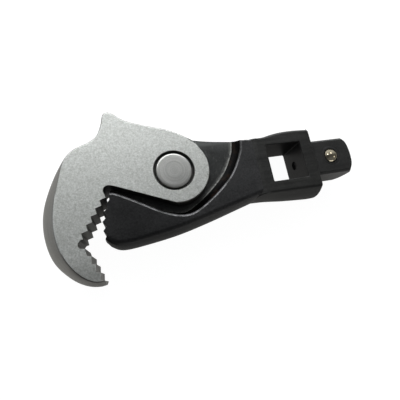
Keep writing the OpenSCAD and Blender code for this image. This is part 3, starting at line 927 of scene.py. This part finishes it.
def cut_ball_seat(body):
    """Bore under the +Z flat, a narrower lip at the flat, and a staked ring round it."""
    at = (BALL.x, BALL.y)
    boolean(body, cylinder("ball_bore", BALL_R + FIT, -3, FLAT_Z - 0.3, M_SOCKET, at=at))
    # the lip's flared rim and the staked ring take the near-black teeth oxide: painted shade in
    # these grooves
    boolean(body, flared_cylinder("ball_lip", BALL_R - 0.12, 0, 20, [M_DRIVE, M_JAW_TEETH],
                                  flare=0.14, face=FLAT_Z, at=at))
    ring_r, section_r = 3.5, 0.42
    section = [(ring_r + section_r * math.cos(2 * math.pi * k / 20),
                section_r * math.sin(2 * math.pi * k / 20)) for k in range(20)]
    boolean(body, torus("stake", section, 96, [M_JAW_TEETH], (*at, FLAT_Z + 0.34)))


def make_body():
    body = forged("wrench_body", BODY_LOOP, NECK_H, EDGE_BODY, [M_NECK], side=16, rounding=6,
                  taper=neck_rounding)
    boolean(body, recess_cutter(1))
    boolean(body, recess_cutter(-1))
    boolean(body, make_block(), "UNION")
    boolean(body, make_drive(), "UNION")
    boolean(body, flared_prism("teeth", jaw_teeth(), h=9.0, flare=0.22, face=NECK_H,
                               mats=[M_JAW_TEETH, M_JAW_TEETH]))
    boolean(body, cylinder("bore", PIN_R + 0.01, -12, 12, M_SOCKET))
    cut_spring_pocket(body)
    cut_socket(body)
    boolean(body, cylinder("nick", 1.2, -6, 6, M_BLOCK, at=(45.7, 11.1), n=48))
    cut_ball_seat(body)
    return finish_piece(body)


# ----------------------------------------------------------------- the hook
def make_hook():
    hook = forged("hook_jaw_forging", HOOK_LOOP, HOOK_H, EDGE_HOOK, [M_FACE], side=22, rounding=4)
    hook.data.materials.append(M_SIDE)
    for face in hook.data.polygons:
        if abs(face.normal.z) < 0.93:
            face.material_index = 1
    boolean(hook, flared_prism("mouth", mouth(), h=9.5, flare=0.16, face=HOOK_H,
                               mats=[M_TOOTH, M_TOOTH]))
    boolean(hook, cylinder("fork_round", SLOT_R, -SLOT_H, SLOT_H, M_SLOT, n=160))
    fan = [(0, 0), (12, -24), (40, -24), (40, 40), polar(42, STOP_ANGLE)]
    boolean(hook, prism("fork_sector", fan, SLOT_H, M_SLOT))
    boolean(hook, cylinder("bore", PIN_R + FIT, -12, 12, M_SLOT))
    for sign in (1, -1):
        sink = flared_cylinder("sink", SINK_R, HOOK_H - SINK_DEPTH, HOOK_H + 3,
                               [M_SLOT, M_SLOT], flare=0.16, face=HOOK_H, n=128)
        if sign < 0:
            sink.data.transform(Matrix.Scale(-1, 4, (0, 0, 1)))
            sink.data.flip_normals()
        boolean(hook, sink)
    # hole for the spring's bent leg
    a = math.radians((COIL_START + COIL_WIND) % 360)
    at = (COIL_R * math.cos(a) - LEG_BEND * math.sin(a),
          COIL_R * math.sin(a) + LEG_BEND * math.cos(a))
    boolean(hook, cylinder("leg_hole", 0.6, 0, 4.3, M_SLOT, at=at, n=32))
    return finish_piece(hook)


# ------------------------------------------------------------ turned pieces
def make_pin():
    """Rivet: peened end at -Z, shank, and a head at +Z."""
    h, head, step = HOOK_H, PIN_HEAD_R, HOOK_H - SINK_DEPTH
    peened = [(0, 0.16), (1.4, 0.15), (2.6, 0.11), (3.2, 0.2), (3.6, 0.35), (3.82, 0.52),
              (3.9, 0.7), (3.15, 0.72)]     # (radius, height over the hook's -Z face)
    profile = [(r, -h + up) for r, up in peened]
    profile += [
        (3.15, -step - 0.02), (PIN_R, -step - 0.02),
        (PIN_R, -WEB_H + 0.1), (PIN_R + 0.01, -WEB_H + 0.3), (PIN_R + 0.01, WEB_H - 0.3),
        (PIN_R, WEB_H - 0.1), (PIN_R, step + 0.02), (head - 0.08, step + 0.02),
        (head, step + 0.1), (head, h - 0.42), (head - 0.04, h - 0.30), (head - 0.13, h - 0.19),
        (head - 0.26, h - 0.115), (head - 0.45, h - 0.085), (4.4, h - 0.06), (3.2, h - 0.03),
        (1.6, h - 0.01), (0.4, h - 0.005), (0, h - 0.005)]
    bands = [1 if 7 <= k <= 15 else 0 for k in range(len(profile) - 1)]
    return finish_piece(lathe("rivet_pin", profile, 160, [M_PIN, M_SHANK], bands=bands),
                        clean=False)


def make_washer():
    z0, z1 = -HOOK_H + 0.74, -HOOK_H + SINK_DEPTH - 0.04
    a, b = 3.17, PIN_HEAD_R
    section = [(a + 0.1, z0), (b - 0.35, z0), (b - 0.18, z0 + 0.05), (b - 0.05, z0 + 0.17),
               (b, z0 + 0.34), (b, z1 - 0.1), (b - 0.1, z1), (a + 0.1, z1), (a, z1 - 0.1),
               (a, z0 + 0.1)]
    return finish_piece(torus("peened_washer", section, 128, [M_WASHER]), clean=False)


def make_return_spring():
    """Torsion spring: a straight leg in the body, coils, and an end bent up into the hook."""
    r, steps = COIL_R, 190
    z0 = POCKET_Z + COIL_WIRE / 2 + 0.03
    rise = (COIL_WIRE + 0.05) * COIL_WIND / 360
    ux, uy = polar(1, COIL_START)
    stations = [((r * ux + q * uy, r * uy - q * ux, z0), (ux, uy, 0))
                for q in (7, 5.5, 4, 2.6, 1.3, 0.5)]
    for i in range(steps + 1):
        ux, uy = polar(1, COIL_START + COIL_WIND * i / steps)
        stations.append(((r * ux, r * uy, z0 + rise * i / steps), (ux, uy, 0)))

    def leg(along, z):
        return (r * ux - along * uy, r * uy + along * ux, z), (ux, uy, 0)

    for i in range(1, 9):
        b = math.radians(90 * i / 8)
        stations.append(leg(LEG_BEND * math.sin(b), z0 + rise + LEG_BEND * (1 - math.cos(b))))
    stations.append(leg(LEG_BEND, 3.85))
    return finish_piece(sweep("torsion_spring", stations, COIL_WIRE / 2, 16, [M_SPRING]),
                        clean=False)


def make_detent_spring():
    """Helical spring under the ball; its top coil touches the ball."""
    steps, turns, r, wire_r, base_z = 360, 6, 1.8, 0.25, -2.72
    top_z = BALL.z - math.sqrt((BALL_R + 0.27) ** 2 - r ** 2)
    stations = []
    for i in range(steps + 1):
        a = 2 * math.pi * turns * i / steps
        stations.append(((BALL.x + r * math.cos(a), BALL.y + r * math.sin(a),
                          base_z + (top_z - base_z) * i / steps),
                         (math.cos(a), math.sin(a), 0)))
    return finish_piece(sweep("ball_spring", stations, wire_r, 12, [M_SPRING]), clean=False)


def make_ball():
    return finish_piece(globe("steel_ball", BALL_R, BALL, [M_BALL], 96, 48), clean=False)


for make, node, body, finish in (
        (make_body, "handle_body", "handle", "black_oxide"),
        (make_hook, "hook_jaw", "hook", "satin_steel"),
        (make_pin, "pivot_pin", "handle", "turned_steel"),
        (make_washer, "rivet_washer", "handle", "turned_steel"),
        (make_return_spring, "return_spring", "handle", "spring_steel"),
        (make_detent_spring, "detent_spring", "handle", "spring_steel"),
        (make_ball, "detent_ball", "ball", "ball_steel")):
    piece = make()
    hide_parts(node)
    if node == "return_spring":    # the real spring winds up between its fixed leg and the leg in the hook; here it is baked in place on neither body
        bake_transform(piece)
    else:
        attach(piece, body)
    if node == "detent_spring":    # the real spring shortens by the ball's travel; here it only gets a mesh of its own
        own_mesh(piece)

# ------------------------------------------------- floor and light, in metres
scene = bpy.context.scene
LO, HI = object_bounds()
CENTRE = Vector([(a + b) / 2 for a, b in zip(LO, HI)])
FLOOR_Z = LO[2] - 0.00005


def tree_tools(owner):
    """Empties the owner's node tree; returns a node maker and a linker."""
    owner.use_nodes = True
    tree = owner.node_tree
    tree.nodes.clear()
    return lambda kind: tree.nodes.new("ShaderNode" + kind), tree.links.new


def floor_material():
    """Pale sweep: white to the camera, and a mid-grey card to the object."""
    material = bpy.data.materials.new("pale_sweep")
    new, link = tree_tools(material)

    def glowing(diffuse, colour, strength):
        glow, total = new("Emission"), new("AddShader")
        glow.inputs["Color"].default_value = colour
        glow.inputs["Strength"].default_value = strength
        link(diffuse.outputs[0], total.inputs[0])
        link(glow.outputs[0], total.inputs[1])
        return total

    def mixed(factor, first, second):
        mix = new("MixShader")
        for socket, source in zip(mix.inputs, (factor, first.outputs[0], second.outputs[0])):
            link(source, socket)
        return mix

    coord, noise, ramp, grey = (new("TexCoord"), new("TexNoise"), new("MapRange"),
                                new("CombineColor"))
    noise.inputs["Scale"].default_value = 40
    link(coord.outputs["Object"], noise.inputs["Vector"])
    link(noise.outputs["Fac"], ramp.inputs["Value"])
    ramp.inputs["To Min"].default_value, ramp.inputs["To Max"].default_value = 0.14, 0.17
    for k in range(3):
        link(ramp.outputs[0], grey.inputs[k])
    white, card = new("BsdfDiffuse"), new("BsdfDiffuse")
    link(grey.outputs[0], white.inputs["Color"])
    card.inputs["Color"].default_value = (0.46, 0.455, 0.44, 1)
    seen = new("LightPath").outputs["Is Camera Ray"]
    surface = mixed(seen, glowing(card, colour=(1.0, 0.99, 0.96, 1), strength=0.33),
                    glowing(white, colour=(1, 1, 1, 1), strength=0.97))
    # a camera below the floor looks through it
    under = new("Math")
    under.operation = "MULTIPLY"
    link(new("NewGeometry").outputs["Backfacing"], under.inputs[0])
    link(seen, under.inputs[1])
    last = mixed(under.outputs[0], surface, new("BsdfTransparent"))
    link(last.outputs[0], new("OutputMaterial").inputs[0])
    return material


def make_floor():
    bm = bmesh.new()
    bmesh.ops.create_grid(bm, x_segments=24, y_segments=24, size=1.2)
    mesh = bpy.data.meshes.new("floor_sweep")
    bm.to_mesh(mesh)
    bm.free()
    mesh.materials.append(floor_material())
    floor = bpy.data.objects.new("floor_sweep", mesh)
    floor.location = (0, 0, FLOOR_Z)
    scene.collection.objects.link(floor)


# Surround: strength added along a direction (axis, from, to, amount), over a base.
SKY_BASE = 0.07
SKY = [(1, 0.0, 0.95, 0.70), (1, -0.15, -0.9, 0.10), (0, 0.05, 0.7, 0.08), (2, 0.5, 1.0, 0.03)]


def make_world():
    """Studio surround: bright towards +Y, greyer at the sides, near white to the camera."""
    scene.world = bpy.data.worlds.new("studio")
    new, link = tree_tools(scene.world)
    out, lit, coord, split = (new("OutputWorld"), new("Background"), new("TexCoord"),
                              new("SeparateXYZ"))
    link(coord.outputs["Generated"], split.inputs[0])
    total = None
    for axis, start, end, amount in SKY:
        ramp, add = new("MapRange"), new("Math")
        ramp.interpolation_type = "SMOOTHSTEP"
        link(split.outputs[axis], ramp.inputs["Value"])
        for key, value in (("From Min", start), ("From Max", end), ("To Min", 0.0),
                           ("To Max", amount)):
            ramp.inputs[key].default_value = value
        link(ramp.outputs[0], add.inputs[0])
        if total is None:
            add.inputs[1].default_value = SKY_BASE
        else:
            link(total, add.inputs[1])
        total = add.outputs[0]
    link(total, lit.inputs["Strength"])
    lit.inputs["Color"].default_value = (0.97, 0.99, 1.0, 1)
    seen, path, mix = new("Background"), new("LightPath"), new("MixShader")
    seen.inputs["Color"].default_value = (0.985, 0.99, 1.0, 1)
    seen.inputs["Strength"].default_value = 0.93
    link(path.outputs["Is Camera Ray"], mix.inputs[0])
    link(lit.outputs[0], mix.inputs[1])
    link(seen.outputs[0], mix.inputs[2])
    link(mix.outputs[0], out.inputs[0])


def area(name, at, target, size, power, colour, size_y=None):
    light = bpy.data.lights.new(name, "AREA")
    light.energy, light.color, light.size = power, colour, size
    if size_y:
        light.shape, light.size_y = "RECTANGLE", size_y
    lamp = bpy.data.objects.new(name, light)
    scene.collection.objects.link(lamp)
    lamp.location = at
    lamp.rotation_euler = (Vector(target) - Vector(at)).to_track_quat("-Z", "Y").to_euler()
    return lamp


def limit(light, piece, state):
    """Lights only this piece (INCLUDE), or everything but this piece (EXCLUDE)."""
    receivers = bpy.data.collections.new(light.name + "_receivers")
    receivers.objects.link(piece)
    receivers.collection_objects[0].light_linking.link_state = state
    light.light_linking.receiver_collection = receivers


def over_centre(dx, dy, z):
    return (LO[0] + HI[0]) / 2 + dx, (LO[1] + HI[1]) / 2 + dy, z


def make_lights():
    softbox = area("softbox_top", over_centre(-0.03, 0.50, 0.28), CENTRE, size=0.70, size_y=0.34,
                   power=4.4, colour=(0.975, 0.99, 1.0))
    strip = area("strip_left", over_centre(-0.45, 0.10, 0.16), CENTRE, size=0.10, size_y=0.30,
                 power=0.14, colour=(0.88, 0.94, 1.0))
    area("fill_front", over_centre(0.12, -0.55, 0.03), CENTRE, size=0.5, size_y=0.12,
         power=0.35, colour=(1.0, 0.99, 0.97))
    # the polished ball mirrors small lamps instead of the large softbox
    ball = bpy.data.objects["steel_ball"]
    at_ball = (BALL + PIVOT) * 0.001
    limit(softbox, ball, "EXCLUDE")
    limit(strip, ball, "EXCLUDE")
    for name, way, power in (("lamp_left", (-0.63, 0.475, 0.614), 0.13),
                             ("lamp_right", (0.108, 0.533, 0.839), 0.105),
                             ("lamp_rim", (0.68, -0.34, 0.65), 0.045)):
        lamp = area(name, at_ball + 0.35 * Vector(way), at_ball, size=0.085, power=power,
                    colour=(1.0, 0.98, 0.95))
        limit(lamp, ball, "INCLUDE")


def make_camera():
    lens = bpy.data.cameras.new("camera")
    lens.lens, lens.sensor_width, lens.sensor_fit = 29.607, 36.0, "AUTO"
    lens.clip_start, lens.clip_end = 0.005, 10.0
    camera = bpy.data.objects.new("camera", lens)
    scene.collection.objects.link(camera)
    turn = Matrix(((0.9615, 0.1461, -0.2329), (-0.1959, 0.9584, -0.2075),
                   (0.1929, 0.2451, 0.9501)))
    place = Vector((-0.05632, -0.03007, 0.10356))
    camera.matrix_world = Matrix.Translation(place) @ turn.to_4x4()
    scene.camera = camera


make_floor()
make_world()
make_lights()
make_camera()
scene.view_settings.view_transform = "Standard"
scene.view_settings.look = "None"
